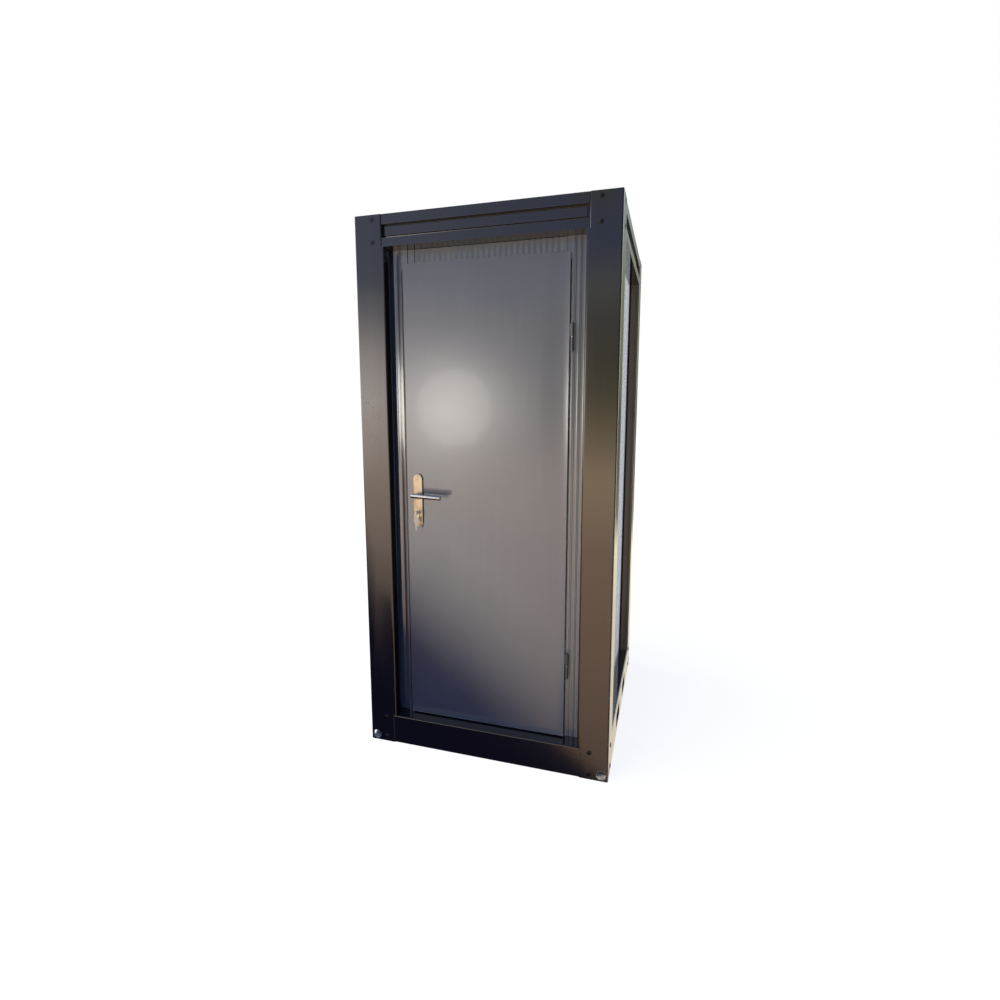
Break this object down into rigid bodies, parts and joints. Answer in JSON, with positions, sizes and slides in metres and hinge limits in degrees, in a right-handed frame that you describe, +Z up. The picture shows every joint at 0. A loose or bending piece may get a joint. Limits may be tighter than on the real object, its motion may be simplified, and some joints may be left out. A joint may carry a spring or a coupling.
{
  "type": "steel-framed toilet cabin",
  "caption": "Free-standing steel-framed toilet cabin with ribbed panel walls, corner posts, fork pockets and one outward-opening steel door with a lever handle.",
  "frame": {"origin": "centre of the footprint at ground level", "axes": "+Z up, -Y out of the door, +X towards the door's hinges"},
  "size_m": [1.166, 1.206, 2.45],
  "materials": {
    "frame_paint": "satin anthracite paint",
    "panel_paint": "satin grey coil coating",
    "door_frame_paint": "satin grey paint",
    "door_paint": "satin anthracite-grey paint",
    "hinge_paint": "satin dark paint",
    "floor_board": "coated plywood",
    "ceiling_white": "matt white coil coating",
    "stainless_sill": "brushed stainless steel",
    "stainless_plate": "brushed stainless steel",
    "lever_stainless": "satin stainless steel",
    "bolt_steel": "black painted bolt heads",
    "washer_steel": "bright steel",
    "cylinder_nickel": "matt nickel",
    "screw_steel": "steel screw heads",
    "key_nickel": "nickel-plated brass",
    "spindle_steel": "steel bar"
  },
  "bodies": {
    "cabin": {"post_front_left": "frame_paint", "post_front_right": "frame_paint", "post_rear_left": "frame_paint", "post_rear_right": "frame_paint", "roof_beam_front": "frame_paint", "roof_beam_rear": "frame_paint", "roof_beam_left": "frame_paint", "roof_beam_right": "frame_paint", "floor_beam_front": "frame_paint", "floor_beam_rear": "frame_paint", "floor_beam_left": "frame_paint", "floor_beam_right": "frame_paint", "fork_pockets": "frame_paint", "floor_joists": "frame_paint", "wall_left": "panel_paint", "wall_right": "panel_paint", "wall_rear": "panel_paint", "front_wall_left": "panel_paint", "front_wall_right": "panel_paint", "transom_panel": "panel_paint", "transom_strip": "panel_paint", "roof_sheet": "panel_paint", "door_jamb_left": "door_frame_paint", "door_jamb_right": "door_frame_paint", "door_head": "door_frame_paint", "floor_deck": "floor_board", "ceiling_panel": "ceiling_white", "door_sill": "stainless_sill", "strike_plate": "stainless_plate", "corner_bolts": "bolt_steel", "hinge_pins": "hinge_paint", "hinge_washers": "washer_steel"},
    "door": {"door_leaf": "door_paint", "hinge_knuckles": "hinge_paint", "backplate_outside": "stainless_plate", "backplate_inside": "stainless_plate", "lock_cylinder": "cylinder_nickel", "lock_faceplate": "stainless_plate", "plate_screws": "screw_steel", "key_in_lock": "key_nickel", "key_ring": "key_nickel", "spare_key": "key_nickel"},
    "lever": {"lever_outside": "lever_stainless", "lever_inside": "lever_stainless", "spindle": "spindle_steel"}
  },
  "joints": [
    {"name": "door_hinge", "type": "hinge", "parent": "cabin", "child": "door", "pos_m": [0.382, -0.548, 1.2], "axis": [0, 0, 1], "range_deg": [0, 120]},
    {"name": "lever_turn", "type": "hinge", "parent": "door", "child": "lever", "pos_m": [-0.326, -0.5, 1.225], "axis": [0, 1, 0], "range_deg": [0, 40], "stiffness_Nm_per_rad": 1.2, "springref_deg": -45.84}
  ]
}
